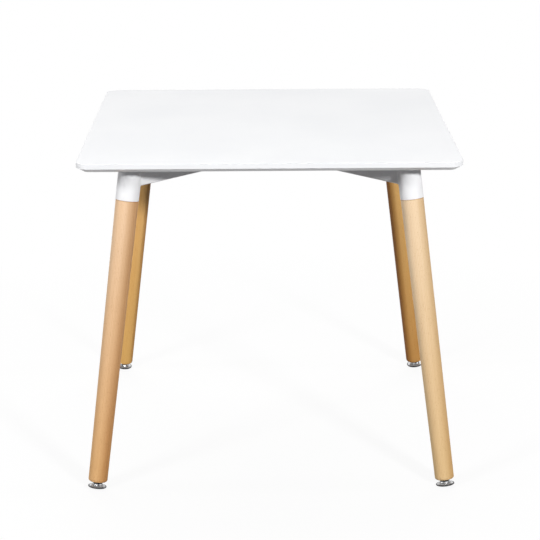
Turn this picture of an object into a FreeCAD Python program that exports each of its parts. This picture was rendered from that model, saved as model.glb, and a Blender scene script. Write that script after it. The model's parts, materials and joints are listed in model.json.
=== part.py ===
import FreeCAD, Part
import math
import os
import re
import Sketcher

# Square dining table: undercut white top, steel cross frame with tilted sleeves,
# turned splayed legs and screw feet. The origin is on the floor below the centre
# of the top, +Z is up, and the front of the table faces -Y.

# Driving sizes, in millimetres and degrees: name, value, what it measures.
SIZES = (
    ("top_side", 800, "side of the square top"),
    ("top_height", 730, "floor to upper face of the top"),
    ("top_thickness", 20, "thickness of the top"),
    ("top_corner", 28, "radius of the top's corners in plan"),
    ("top_round", 1.5, "round-over of the top's upper edge"),
    ("bevel_height", 9, "height of the bevel under the edge"),
    ("bevel_inset", 16, "how far the bevel runs in under the top"),
    ("rail_height", 54, "height of the cross frame's tube"),
    ("rail_width", 25, "width of the cross frame's tube"),
    ("rail_wall", 1.5, "wall of the cross frame's tube"),
    ("rail_corner", 4, "outer corner radius of the cross frame's tube"),
    ("leg_inset", 108, "edge of the top to the leg's axis, at the underside"),
    ("leg_splay", 10, "lean of the leg's axis outwards along the diagonal"),
    ("sleeve_outer", 50, "outer diameter of the leg sleeve"),
    ("sleeve_wall", 1.5, "wall of the leg sleeve"),
    ("sleeve_length", 82, "underside to the sleeve's lower end, along the axis"),
    ("sleeve_round", 0.6, "rounding of the sleeve's lower edge"),
    ("weld_gap", 0.1, "seam between welded pieces with curved faces"),
    ("fit_gap", 0.1, "gap round a piece that is held fast in a hole"),
    ("turn_gap", 0.1, "gap round a piece that turns"),
    ("cut_overrun", 5, "how far a cutting shape passes the piece"),
    ("cap_depth", 14, "underside to the plate in the sleeve, along the axis"),
    ("cap_thickness", 4, "thickness of the plate in the sleeve"),
    ("hexagon_slope", 30, "slope of the chamfer on hexagons, in degrees"),
    ("nut_flats", 13, "weld nut across flats"),
    ("nut_height", 6.5, "height of the weld nut"),
    ("bolt_diameter", 8, "diameter of the hanger bolt"),
    ("bolt_stickout", 2, "hanger bolt past the weld nut"),
    ("bolt_in_leg", 45, "hanger bolt's length in the leg"),
    ("bolt_point", 6, "length of the hanger bolt's point"),
    ("end_chamfer", 1, "chamfer on the ends of bolts and stems"),
    ("tab_setback", 153, "leg's axis back to a fixing tab, along its arm"),
    ("tab_length", 32, "length of a fixing tab"),
    ("tab_width", 28, "width of a fixing tab, and diameter of its end"),
    ("tab_thickness", 3, "thickness of a fixing tab"),
    ("tab_hole", 5.5, "hole in a fixing tab"),
    ("screw_diameter", 4.5, "diameter of a tab screw"),
    ("screw_depth", 12, "tab screw's length in the top"),
    ("screw_head", 9, "diameter of a tab screw's head"),
    ("screw_head_height", 3, "height of a tab screw's head"),
    ("screw_dome", 1.2, "rounding of a tab screw's head"),
    ("shoulder_setback", 0.5, "how far the leg lies inside the sleeve's surface"),
    ("shoulder_round", 0.8, "rounding of the leg's shoulder"),
    ("tenon_gap", 1, "room between the leg's tenon and the plate above it"),
    ("tenon_chamfer", 2, "chamfer of the tenon's upper end"),
    ("leg_foot", 41.5, "diameter of the leg at its lower end"),
    ("leg_round", 4, "rounding of the leg's lower end"),
    ("insert_outer", 12, "outer diameter of the threaded insert"),
    ("insert_length", 20, "length of the threaded insert in the leg"),
    ("flange_diameter", 24, "diameter of the insert's flange"),
    ("flange_thickness", 1, "thickness of the insert's flange"),
    ("foot_gap", 2, "insert's flange to the collar, as photographed"),
    ("stem_diameter", 8, "diameter of the foot's screw"),
    ("stem_length", 28, "length of the foot's screw above its collar"),
    ("stem_room", 4, "room above the foot's screw"),
    ("stem_bore_gap", 0.5, "gap round the foot's screw in the wood"),
    ("collar_flats", 19, "collar of the foot's screw across flats"),
    ("collar_height", 5.5, "height of that collar"),
    ("rivet_diameter", 13, "rivet head that holds the collar in the base"),
    ("rivet_height", 1.2, "height of that rivet head"),
    ("base_diameter", 40, "diameter of the chrome base"),
    ("base_height", 4.5, "height of the chrome base"),
    ("base_rim", 1.6, "height of the chrome base's rim"),
    ("base_rim_round", 0.6, "rounding of that rim"),
    ("base_wall", 2.2, "wall round the pad in the chrome base"),
    ("base_hub", 24, "diameter of the flat that the collar turns on"),
    ("base_floor", 1.6, "thickness of the chrome base above the rivet head"),
    ("pad_seat", 1.4, "depth of the pad in the chrome base"),
    ("pad_drop", 3.5, "how far the pad stands out below the base"),
    ("pad_curve", 50, "radius of the pad's curved sole"),
)

# Corners in the order of their arms of the cross frame, a quarter turn apart.
CORNERS = ("back_right", "back_left", "front_left", "front_right")
HALF_RAILS = ("back_left", "front_right")
FIRST_ARM_ANGLE = 45
TAB_NAMES = ("a", "b")
TAB_SIDES = (1, -1)

# Places that several pieces share, as formulas of the sizes.
UNDERSIDE = "(top_height - top_thickness)"
LEG_REACH = "((top_side / 2 - leg_inset) * sqrt(2))"
TAB_STATION = f"({LEG_REACH} - tab_setback)"
SLEEVE_RADIUS = "(sleeve_outer / 2)"
SLEEVE_BORE = "(sleeve_outer / 2 - sleeve_wall)"
SCREW_OFFSET = "(rail_width / 2 + tab_length - tab_width / 2)"

# Levels in a leg, measured down its axis from the underside of the top.
CAP_FOOT = "(cap_depth + cap_thickness)"
NUT_HEAD = "(cap_depth - nut_height)"
BOLT_HEAD = "(cap_depth - nut_height - bolt_stickout)"
TENON_HEAD = f"({CAP_FOOT} + tenon_gap)"
BOLT_FOOT = f"({TENON_HEAD} + bolt_in_leg)"
SOLE = f"(({UNDERSIDE} - pad_curve) / cos(leg_splay) + pad_curve)"
BASE_RIM = f"({SOLE} - pad_drop)"
BASE_HUB = f"({BASE_RIM} - base_height)"
RIVET_HEAD = f"({BASE_HUB} + base_floor + turn_gap)"
PAD_HEAD = f"({BASE_RIM} - pad_seat)"
COLLAR_FOOT = f"({BASE_HUB} - turn_gap)"
COLLAR_HEAD = f"({COLLAR_FOOT} - collar_height)"
FLANGE_FOOT = f"({COLLAR_HEAD} - foot_gap)"
LEG_END = f"({FLANGE_FOOT} - flange_thickness)"
INSERT_HEAD = f"({LEG_END} - insert_length)"
STEM_HEAD = f"({COLLAR_HEAD} - stem_length)"
STEM_BORE_HEAD = f"({STEM_HEAD} - stem_room)"

doc = FreeCAD.newDocument("dining_table")
sheet = doc.addObject("Spreadsheet::Sheet", "Sizes")
for row, (alias, size, note) in enumerate(SIZES, start=1):
    sheet.set(f"A{row}", note)
    sheet.set(f"B{row}", str(size))
    sheet.setAlias(f"B{row}", alias)
doc.recompute()

SIZE_NAMES = re.compile(r"\b(" + "|".join(alias for alias, _, _ in SIZES) + r")\b")
SAME = 1e-4
nodes = []


def formula(text):
    """Return the text with each size's name pointed at its cell."""
    return SIZE_NAMES.sub(r"Sizes.\1", text)


def number(text):
    """Return what a formula gives with the sheet's sizes."""
    return float(sheet.evalExpression(formula(text)))


def bind(thing, name, text):
    """Bind a property to a formula of the sizes."""
    thing.setExpression(name, formula(text))


def add_body(label, place):
    """Start a piece at the place that a formula gives."""
    body = doc.addObject("PartDesign::Body", label)
    body.Label = label
    bind(body, "Placement", place)
    nodes.append(body)
    return body


def arm_angle(corner):
    """Return the angle of a corner's arm of the cross frame, in degrees."""
    return FIRST_ARM_ANGLE + 360 * CORNERS.index(corner) // len(CORNERS)


def leg_place(angle):
    """Return the place of a piece on a leg: +Z runs down the leg's axis."""
    spot = f"vector({LEG_REACH} * cos({angle}); {LEG_REACH} * sin({angle}); {UNDERSIDE})"
    return f"placement({spot}; rotation({angle}; 180 - leg_splay; 0))"


def arm_place(angle):
    """Return the place of a piece on an arm of the frame: +X runs outwards."""
    return f"placement(vector(0; 0; {UNDERSIDE}); rotation({angle}; 0; 0))"


def origin_feature(body, role):
    """Return a plane or an axis of the body's own origin."""
    return next(each for each in body.Origin.OriginFeatures if each.Role == role)


def add_sketch(body, role, offsets=()):
    """Start a sketch on an origin plane, moved by formulas such as ("z", depth)."""
    sketch = body.newObject("Sketcher::SketchObject", f"{body.Label}_sketch")
    sketch.AttachmentSupport = [(origin_feature(body, role), "")]
    sketch.MapMode = "FlatFace"
    for axis, text in offsets:
        bind(sketch, f"AttachmentOffset.Base.{axis}", text)
    return sketch


def constrain(sketch, *facts, text=None):
    """Add a constraint, and bind its value to a formula if it has one."""
    if text is None:
        return sketch.addConstraint(Sketcher.Constraint(*facts))
    index = sketch.addConstraint(Sketcher.Constraint(*facts, number(text)))
    bind(sketch, f"Constraints[{index}]", text)
    return index


def pin(sketch, line, end, x, y):
    """Hold a point at the coordinates that two formulas give."""
    for kind, axis, text in (("DistanceX", -2, x), ("DistanceY", -1, y)):
        if text == "0":
            constrain(sketch, "PointOnObject", line, end, axis)
        else:
            constrain(sketch, kind, -1, 1, line, end, text=text)


def point(x, y):
    """Return the sketch point that two formulas give."""
    return FreeCAD.Vector(number(x), number(y), 0)


def draw_outline(sketch, corners):
    """Draw a closed outline of straight lines through corners given as formulas."""
    first = sketch.GeometryCount
    count = len(corners)
    spots = [point(x, y) for x, y in corners]
    for index in range(count):
        sketch.addGeometry(Part.LineSegment(spots[index], spots[(index + 1) % count]))
    for index in range(count):
        constrain(sketch, "Coincident", first + index, 2, first + (index + 1) % count, 1)
    for index, (x, y) in enumerate(corners):
        pin(sketch, first + index, 1, x, y)


def draw_circle(sketch, x, y, radius):
    """Draw a circle whose centre and radius are formulas."""
    circle = Part.Circle(point(x, y), FreeCAD.Vector(0, 0, 1), number(radius))
    index = sketch.addGeometry(circle)
    if x == "0" and y == "0":
        constrain(sketch, "Coincident", index, 3, -1, 1)
    else:
        pin(sketch, index, 3, x, y)
    constrain(sketch, "Radius", index, text=radius)


def draw_rounded_rectangle(sketch, width, height, radius):
    """Draw a rectangle with round corners, centred on the sketch."""
    first = sketch.GeometryCount
    across = number(f"{width} / 2 - {radius}")
    up = number(f"{height} / 2 - {radius}")
    round_size = number(radius)
    quarter = math.pi / 2
    normal = FreeCAD.Vector(0, 0, 1)
    centres = [
        FreeCAD.Vector(side_x * across, side_y * up, 0)
        for side_x, side_y in ((1, 1), (-1, 1), (-1, -1), (1, -1))
    ]
    arcs = [
        Part.ArcOfCircle(Part.Circle(centre, normal, round_size), turn * quarter, (turn + 1) * quarter)
        for turn, centre in enumerate(centres)
    ]
    for turn, arc in enumerate(arcs):
        sketch.addGeometry(arc)
        sketch.addGeometry(Part.LineSegment(arc.EndPoint, arcs[(turn + 1) % 4].StartPoint))
    for turn in range(4):
        arc = first + 2 * turn
        line = arc + 1
        next_arc = first + 2 * ((turn + 1) % 4)
        constrain(sketch, "Tangent", arc, 2, line, 1)
        constrain(sketch, "Tangent", line, 2, next_arc, 1)
        constrain(sketch, "Vertical" if turn % 2 else "Horizontal", line)
        if turn:
            constrain(sketch, "Equal", first, arc)
    constrain(sketch, "Radius", first, text=radius)
    constrain(sketch, "Symmetric", first, 3, first + 4, 3, -1, 1)
    constrain(sketch, "DistanceX", first + 2, 3, first, 3, text=f"{width} - 2 * {radius}")
    constrain(sketch, "DistanceY", first + 6, 3, first, 3, text=f"{height} - 2 * {radius}")


def hexagon(flats):
    """Return the corners of a hexagon as formulas of its width across flats."""
    corner = f"{flats} / sqrt(3)"
    half_corner = f"{flats} / sqrt(12)"
    half_flats = f"{flats} / 2"
    return (
        (corner, "0"),
        (half_corner, half_flats),
        (f"-{half_corner}", half_flats),
        (f"-{corner}", "0"),
        (f"-{half_corner}", f"-{half_flats}"),
        (half_corner, f"-{half_flats}"),
    )


def pad(body, sketch, length, reverse=False, symmetric=False):
    """Extrude a sketch by the length that a formula gives."""
    feature = body.newObject("PartDesign::Pad", f"{body.Label}_pad")
    feature.Profile = sketch
    bind(feature, "Length", length)
    feature.Reversed = reverse
    feature.SideType = "Symmetric" if symmetric else "One side"
    doc.recompute()
    return feature


def pocket(body, sketch, depth, reverse=False):
    """Cut a sketch to the depth that a formula gives."""
    feature = body.newObject("PartDesign::Pocket", f"{body.Label}_pocket")
    feature.Profile = sketch
    bind(feature, "Length", depth)
    feature.Reversed = reverse
    doc.recompute()
    return feature


def turn(body, corners, kind="Revolution", offsets=()):
    """Turn an outline of radii and levels about the body's Z direction."""
    sketch = add_sketch(body, "XZ_Plane", offsets)
    draw_outline(sketch, corners)
    return turn_sketch(body, sketch, kind)


def turn_sketch(body, sketch, kind="Revolution"):
    """Turn a sketch about its own vertical axis, to add or to cut."""
    feature = body.newObject(f"PartDesign::{kind}", f"{body.Label}_turned")
    feature.Profile = sketch
    feature.ReferenceAxis = (sketch, ["V_Axis"])
    doc.recompute()
    return feature


def cut_cylinder(body, radius, height, place):
    """Cut a cylinder out of the body."""
    feature = body.newObject("PartDesign::SubtractiveCylinder", f"{body.Label}_cut")
    bind(feature, "Radius", radius)
    bind(feature, "Height", height)
    bind(feature, "Placement", place)
    doc.recompute()
    return feature


def polar_pattern(body, originals, copies):
    """Repeat features evenly round the body's Z axis."""
    feature = body.newObject("PartDesign::PolarPattern", f"{body.Label}_pattern")
    feature.Originals = originals
    feature.Axis = (origin_feature(body, "Z_Axis"), [""])
    feature.Angle = 360
    feature.Occurrences = copies
    body.Tip = feature
    doc.recompute()
    return feature


def ring_edges(feature, radius, level):
    """Return the names of the round edges at a radius and a level."""
    names = []
    for index, edge in enumerate(feature.Shape.Edges, start=1):
        curve = edge.Curve
        if not isinstance(curve, Part.Circle):
            continue
        right_size = abs(curve.Radius - number(radius)) < SAME
        if right_size and abs(curve.Center.z - number(level)) < SAME:
            names.append(f"Edge{index}")
    return names


def level_edges(feature, level):
    """Return the names of the edges that lie wholly at a level."""
    names = []
    for index, edge in enumerate(feature.Shape.Edges, start=1):
        box = edge.BoundBox
        if max(abs(box.ZMin - number(level)), abs(box.ZMax - number(level))) < SAME:
            names.append(f"Edge{index}")
    return names


def fillet(body, base, edges, radius):
    """Round the named edges of a feature."""
    feature = body.newObject("PartDesign::Fillet", f"{body.Label}_round")
    feature.Base = (base, edges)
    bind(feature, "Radius", radius)
    doc.recompute()
    return feature


def chamfer(body, base, edges, size, second_size=None):
    """Bevel the named edges of a feature, with two sizes if they differ."""
    feature = body.newObject("PartDesign::Chamfer", f"{body.Label}_bevel")
    feature.Base = (base, edges)
    bind(feature, "Size", size)
    if second_size:
        feature.ChamferType = "Two distances"
        bind(feature, "Size2", second_size)
    doc.recompute()
    return feature


def make_table_top():
    """Board with round corners, a bevel underneath and pilot holes for the screws."""
    body = add_body("table_top", "placement(vector(0; 0; top_height); rotation(0; 0; 0))")
    plan = add_sketch(body, "XY_Plane")
    draw_rounded_rectangle(plan, "top_side", "top_side", "top_corner")
    board = pad(body, plan, "top_thickness", reverse=True)
    lower_edges = level_edges(board, "-top_thickness")
    bevel = chamfer(body, board, lower_edges, "bevel_height", "bevel_inset")
    rounded = fillet(body, bevel, level_edges(bevel, "0"), "top_round")
    holes = add_sketch(body, "XY_Plane", (("z", "-top_thickness"),))
    near = f"(({TAB_STATION} - {SCREW_OFFSET}) / sqrt(2))"
    far = f"(({TAB_STATION} + {SCREW_OFFSET}) / sqrt(2))"
    pilot = "screw_diameter / 2 + fit_gap"
    draw_circle(holes, near, far, pilot)
    draw_circle(holes, far, near, pilot)
    drilled = pocket(body, holes, "screw_depth + fit_gap", reverse=True)
    polar_pattern(body, [drilled], len(CORNERS))
    if body.Shape.Volume >= rounded.Shape.Volume:
        raise RuntimeError("the pilot holes cut nothing")


def draw_tube(body, offsets):
    """Draw the section of the cross frame's tube."""
    sketch = add_sketch(body, "YZ_Plane", (("y", "-rail_height / 2"),) + offsets)
    draw_rounded_rectangle(sketch, "rail_width", "rail_height", "rail_corner")
    inner_width = "(rail_width - 2 * rail_wall)"
    inner_height = "(rail_height - 2 * rail_wall)"
    draw_rounded_rectangle(sketch, inner_width, inner_height, "(rail_corner - rail_wall)")
    return sketch


def cope_end(body, side):
    """Cut the end of a rail to the round of the tilted sleeve it is welded to."""
    start = "(sleeve_outer + cut_overrun)"
    out = f"({LEG_REACH} - {start} * sin(leg_splay)) * {side}"
    spot = f"vector({out}; 0; {start} * cos(leg_splay))"
    turned = f"rotation(90 - 90 * {side}; 180 - leg_splay; 0)"
    cut_cylinder(
        body,
        f"{SLEEVE_RADIUS} + weld_gap",
        f"{start} + sleeve_length + rail_height",
        f"placement({spot}; {turned})",
    )


def make_rails():
    """One rail through the middle and two half rails against its sides."""
    long_rail = add_body("long_rail", arm_place(FIRST_ARM_ANGLE))
    pad(long_rail, draw_tube(long_rail, ()), f"2 * {LEG_REACH}", symmetric=True)
    cope_end(long_rail, 1)
    cope_end(long_rail, -1)
    for corner in HALF_RAILS:
        half_rail = add_body(f"half_rail_{corner}", arm_place(arm_angle(corner)))
        section = draw_tube(half_rail, (("z", "rail_width / 2"),))
        pad(half_rail, section, f"{LEG_REACH} - rail_width / 2")
        cope_end(half_rail, 1)


def make_sleeve(corner, angle):
    """Tube along the leg's axis, cut level with the underside of the top."""
    body = add_body(f"leg_sleeve_{corner}", leg_place(angle))
    start = f"({SLEEVE_RADIUS} * tan(leg_splay) + cut_overrun)"
    sketch = add_sketch(body, "XY_Plane", (("z", f"-{start}"),))
    draw_circle(sketch, "0", "0", SLEEVE_RADIUS)
    draw_circle(sketch, "0", "0", SLEEVE_BORE)
    pad(body, sketch, f"{start} + sleeve_length")
    above = "placement(vector(0; 0; 0); rotation(0; 180 + leg_splay; 0))"
    tube = cut_cylinder(body, "sleeve_outer", "sleeve_outer", above)
    fillet(body, tube, ring_edges(tube, SLEEVE_RADIUS, "sleeve_length"), "sleeve_round")


def make_sleeve_cap(corner, angle):
    """Plate across the sleeve, with a hole for the hanger bolt."""
    body = add_body(f"sleeve_cap_{corner}", leg_place(angle))
    hole = "(bolt_diameter / 2 + stem_bore_gap)"
    rim = f"({SLEEVE_BORE} - weld_gap)"
    turn(body, ((hole, "cap_depth"), (rim, "cap_depth"), (rim, CAP_FOOT), (hole, CAP_FOOT)))


def trim_hexagon(body, flats, level):
    """Cut the chamfer that leaves a round flat on the upper end of a hexagon."""
    edge = f"({flats} / 2)"
    lower_level = f"({level} + {edge} * tan(hexagon_slope))"
    turn(body, ((edge, level), (flats, level), (flats, lower_level)), kind="Groove")


def make_weld_nut(corner, angle):
    """Hexagon nut on the plate, chamfered above."""
    body = add_body(f"weld_nut_{corner}", leg_place(angle))
    sketch = add_sketch(body, "XY_Plane", (("z", NUT_HEAD),))
    draw_outline(sketch, hexagon("nut_flats"))
    draw_circle(sketch, "0", "0", "bolt_diameter / 2 + fit_gap")
    pad(body, sketch, "nut_height")
    trim_hexagon(body, "nut_flats", NUT_HEAD)


def make_hanger_bolt(corner, angle):
    """Rod with a chamfered upper end and a point that goes into the leg."""
    body = add_body(f"hanger_bolt_{corner}", leg_place(angle))
    radius = "(bolt_diameter / 2)"
    turn(
        body,
        (
            ("0", BOLT_HEAD),
            (f"{radius} - end_chamfer", BOLT_HEAD),
            (radius, f"{BOLT_HEAD} + end_chamfer"),
            (radius, f"{BOLT_FOOT} - bolt_point"),
            ("0", BOLT_FOOT),
        ),
    )


def make_leg(corner, angle):
    """Tapered leg with a tenon, a shoulder, a rounded end and bores at both ends."""
    body = add_body(f"leg_{corner}", leg_place(angle))
    bolt_bore = "(bolt_diameter / 2 + fit_gap)"
    tenon = f"({SLEEVE_BORE} - fit_gap)"
    shoulder = f"({SLEEVE_RADIUS} - shoulder_setback)"
    end = "(leg_foot / 2)"
    insert_bore = "(insert_outer / 2 + fit_gap)"
    stem_bore = "(stem_diameter / 2 + stem_bore_gap)"
    bolt_bore_foot = f"{BOLT_FOOT} + fit_gap"
    insert_bore_head = f"{INSERT_HEAD} - fit_gap"
    turned = turn(
        body,
        (
            (bolt_bore, TENON_HEAD),
            (tenon, TENON_HEAD),
            (tenon, "sleeve_length"),
            (shoulder, "sleeve_length"),
            (end, LEG_END),
            (insert_bore, LEG_END),
            (insert_bore, insert_bore_head),
            (stem_bore, insert_bore_head),
            (stem_bore, STEM_BORE_HEAD),
            ("0", STEM_BORE_HEAD),
            ("0", bolt_bore_foot),
            (bolt_bore, bolt_bore_foot),
        ),
    )
    ended = fillet(body, turned, ring_edges(turned, end, LEG_END), "leg_round")
    shoulders = ring_edges(ended, shoulder, "sleeve_length")
    eased = fillet(body, ended, shoulders, "shoulder_round")
    chamfer(body, eased, ring_edges(eased, tenon, TENON_HEAD), "tenon_chamfer")


def make_foot_insert(corner, angle):
    """Threaded insert in the leg's end, with a flange against the wood."""
    body = add_body(f"foot_insert_{corner}", leg_place(angle))
    bore = "(stem_diameter / 2 + turn_gap)"
    outer = "(insert_outer / 2)"
    flange = "(flange_diameter / 2)"
    turn(
        body,
        (
            (bore, INSERT_HEAD),
            (outer, INSERT_HEAD),
            (outer, LEG_END),
            (flange, LEG_END),
            (flange, FLANGE_FOOT),
            (bore, FLANGE_FOOT),
        ),
    )


def make_foot_stem(corner, angle):
    """Screw with a hexagon collar, riveted into the base so that it can turn there."""
    body = add_body(f"foot_stem_{corner}", leg_place(angle))
    radius = "(stem_diameter / 2)"
    rivet = "(rivet_diameter / 2)"
    rivet_foot = f"{RIVET_HEAD} + rivet_height"
    turn(
        body,
        (
            ("0", STEM_HEAD),
            (f"{radius} - end_chamfer", STEM_HEAD),
            (radius, f"{STEM_HEAD} + end_chamfer"),
            (radius, RIVET_HEAD),
            (rivet, RIVET_HEAD),
            (rivet, rivet_foot),
            ("0", rivet_foot),
        ),
    )
    sketch = add_sketch(body, "XY_Plane", (("z", COLLAR_HEAD),))
    draw_outline(sketch, hexagon("collar_flats"))
    pad(body, sketch, "collar_height")
    trim_hexagon(body, "collar_flats", COLLAR_HEAD)


def make_foot_base(corner, angle):
    """Pressed disc with a raised hub, hollow underneath for the rivet head and the pad."""
    body = add_body(f"foot_base_{corner}", leg_place(angle))
    edge = "(base_diameter / 2)"
    hollow = "(base_diameter / 2 - base_wall)"
    hole = "(stem_diameter / 2 + turn_gap)"
    rivet_room = "(rivet_diameter / 2 + stem_bore_gap)"
    rivet_ceiling = f"{BASE_HUB} + base_floor"
    rim_top = f"({BASE_RIM} - base_rim)"
    turned = turn(
        body,
        (
            (edge, BASE_RIM),
            (edge, rim_top),
            ("base_hub / 2", BASE_HUB),
            (hole, BASE_HUB),
            (hole, rivet_ceiling),
            (rivet_room, rivet_ceiling),
            (rivet_room, PAD_HEAD),
            (hollow, PAD_HEAD),
            (hollow, BASE_RIM),
        ),
    )
    rim_edges = ring_edges(turned, edge, BASE_RIM) + ring_edges(turned, edge, rim_top)
    fillet(body, turned, rim_edges, "base_rim_round")


def make_foot_pad(corner, angle):
    """Plastic pad in the base, with a curved sole that meets the floor on a tilted leg."""
    body = add_body(f"foot_pad_{corner}", leg_place(angle))
    edge = "(base_diameter / 2 - base_wall - fit_gap)"
    centre_level = f"({SOLE} - pad_curve)"
    sole_edge = f"({centre_level} + sqrt(pad_curve * pad_curve - {edge} * {edge}))"
    sketch = add_sketch(body, "XZ_Plane")
    head_middle = point("0", PAD_HEAD)
    head_edge = point(edge, PAD_HEAD)
    sole_corner = point(edge, sole_edge)
    sole_middle = point("0", SOLE)
    circle = Part.Circle(point("0", centre_level), FreeCAD.Vector(0, 0, 1), number("pad_curve"))
    sole_arc = Part.ArcOfCircle(circle, circle.parameter(sole_corner), circle.parameter(sole_middle))
    axis = sketch.addGeometry(Part.LineSegment(sole_middle, head_middle))
    head = sketch.addGeometry(Part.LineSegment(head_middle, head_edge))
    side = sketch.addGeometry(Part.LineSegment(head_edge, sole_corner))
    sole = sketch.addGeometry(sole_arc)
    for line, next_line in ((axis, head), (head, side), (side, sole), (sole, axis)):
        constrain(sketch, "Coincident", line, 2, next_line, 1)
    pin(sketch, axis, 1, "0", SOLE)
    pin(sketch, head, 1, "0", PAD_HEAD)
    pin(sketch, head, 2, edge, PAD_HEAD)
    constrain(sketch, "Vertical", side)
    constrain(sketch, "PointOnObject", sole, 3, -2)
    constrain(sketch, "Radius", sole, text="pad_curve")
    turn_sketch(body, sketch)


def make_fixing_tab(corner, angle, tab_name, side):
    """Plate on a rail's side, level with its top, with a round end and a hole."""
    across = f"(rail_width / 2 * {side})"
    spot_x = f"{TAB_STATION} * cos({angle}) - {across} * sin({angle})"
    spot_y = f"{TAB_STATION} * sin({angle}) + {across} * cos({angle})"
    place = f"placement(vector({spot_x}; {spot_y}; {UNDERSIDE}); rotation({angle} + 90 * {side}; 0; 0))"
    body = add_body(f"fixing_tab_{corner}_{tab_name}", place)
    straight = "(tab_length - tab_width / 2)"
    half = "(tab_width / 2)"
    sketch = add_sketch(body, "XY_Plane")
    inner_low = point("0", f"-{half}")
    outer_low = point(straight, f"-{half}")
    tip = point("tab_length", "0")
    outer_high = point(straight, half)
    inner_high = point("0", half)
    sketch.addGeometry(Part.LineSegment(inner_low, outer_low))
    sketch.addGeometry(Part.Arc(outer_low, tip, outer_high))
    sketch.addGeometry(Part.LineSegment(outer_high, inner_high))
    sketch.addGeometry(Part.LineSegment(inner_high, inner_low))
    constrain(sketch, "Tangent", 0, 2, 1, 1)
    constrain(sketch, "Tangent", 1, 2, 2, 1)
    constrain(sketch, "Coincident", 2, 2, 3, 1)
    constrain(sketch, "Coincident", 3, 2, 0, 1)
    constrain(sketch, "Horizontal", 0)
    pin(sketch, 3, 1, "0", half)
    pin(sketch, 0, 1, "0", f"-{half}")
    constrain(sketch, "DistanceX", 0, 1, 0, 2, text=straight)
    draw_circle(sketch, straight, "0", "tab_hole / 2")
    pad(body, sketch, "tab_thickness", reverse=True)


def make_tab_screws():
    """Eight alike screws that go up through the tabs into the top."""
    body = add_body("tab_screws", arm_place(FIRST_ARM_ANGLE))
    shank = "(screw_diameter / 2)"
    head = "(screw_head / 2)"
    head_top = "-tab_thickness"
    head_foot = "-(tab_thickness + screw_head_height)"
    profile = (
        ("0", "screw_depth"),
        (shank, f"screw_depth - {shank}"),
        (shank, head_top),
        (head, head_top),
        (head, f"{head_foot} + screw_dome"),
        (f"{head} - screw_dome", head_foot),
        ("0", head_foot),
    )
    screws = [
        turn(body, profile, offsets=(("x", TAB_STATION), ("z", f"{SCREW_OFFSET} * {side}")))
        for side in TAB_SIDES
    ]
    polar_pattern(body, screws, len(CORNERS))


make_table_top()
make_rails()
for corner in CORNERS:
    angle = arm_angle(corner)
    make_sleeve(corner, angle)
    make_sleeve_cap(corner, angle)
    make_weld_nut(corner, angle)
    make_hanger_bolt(corner, angle)
    make_leg(corner, angle)
    make_foot_insert(corner, angle)
    make_foot_stem(corner, angle)
    make_foot_base(corner, angle)
    make_foot_pad(corner, angle)
    for tab_name, side in zip(TAB_NAMES, TAB_SIDES):
        make_fixing_tab(corner, angle, tab_name, side)
make_tab_screws()
doc.recompute()

for item in doc.Objects:
    if "Invalid" in item.State or "Error" in item.State:
        raise RuntimeError(f"{item.Label} failed: {item.State}")
for node in nodes:
    if node.Shape.isNull() or not node.Shape.isValid():
        raise RuntimeError(f"{node.Label} has no valid shape")

os.makedirs("parts", exist_ok=True)
for node in nodes:
    node.Shape.exportStep(f"parts/{node.Label}.step")
print(f"{len(nodes)} pieces written")
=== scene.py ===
"""Square dining table: finishes, threads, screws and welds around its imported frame."""

import json
import logging
import math
from collections.abc import Callable, Sequence
from dataclasses import dataclass
from enum import Enum

import bmesh
import bpy
from mathutils import Color, Matrix, Vector


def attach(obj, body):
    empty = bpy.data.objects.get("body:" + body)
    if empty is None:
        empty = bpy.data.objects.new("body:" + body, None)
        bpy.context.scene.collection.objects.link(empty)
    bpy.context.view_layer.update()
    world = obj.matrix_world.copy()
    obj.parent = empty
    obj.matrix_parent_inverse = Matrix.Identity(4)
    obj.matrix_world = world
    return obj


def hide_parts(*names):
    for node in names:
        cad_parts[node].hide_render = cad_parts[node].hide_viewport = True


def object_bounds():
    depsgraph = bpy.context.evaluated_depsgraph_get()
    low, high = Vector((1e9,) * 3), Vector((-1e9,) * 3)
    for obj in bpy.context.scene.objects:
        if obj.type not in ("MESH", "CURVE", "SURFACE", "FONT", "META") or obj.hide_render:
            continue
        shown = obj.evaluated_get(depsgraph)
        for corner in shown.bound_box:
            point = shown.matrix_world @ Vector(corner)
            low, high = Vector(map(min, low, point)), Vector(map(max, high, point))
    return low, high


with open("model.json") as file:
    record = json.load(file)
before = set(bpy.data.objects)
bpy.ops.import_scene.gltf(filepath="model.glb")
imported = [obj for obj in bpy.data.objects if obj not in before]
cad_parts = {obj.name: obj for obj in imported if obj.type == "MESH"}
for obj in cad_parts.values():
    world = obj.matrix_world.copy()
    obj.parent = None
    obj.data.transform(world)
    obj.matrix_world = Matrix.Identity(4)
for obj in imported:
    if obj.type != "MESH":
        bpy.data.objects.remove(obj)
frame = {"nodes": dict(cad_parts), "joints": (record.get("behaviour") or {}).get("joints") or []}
CAD_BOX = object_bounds()

LOG = logging.getLogger("dining_table")
ROOT_BODY = "table"
LONG_RAIL = "long_rail"
UP = Vector((0.0, 0.0, 1.0))
WHITE = (1.0, 1.0, 1.0, 1.0)
DISPLAY_WHITE = 255
UNIT = (0.0, 1.0)
QUARTER_TURN = math.pi / 2
RIGHT_ANGLE = 90.0
NOISE_MEAN = 0.5
MERGE_DISTANCE = 1e-7
SHARP_ANGLE = 32.0
# Sockets that share their name with others of the same node, by number
MIX_BELOW, MIX_ABOVE, MIX_RESULT = 6, 7, 2
RANDOM_LEAST, RANDOM_MOST, RANDOM_RESULT = 2, 3, 1

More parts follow.
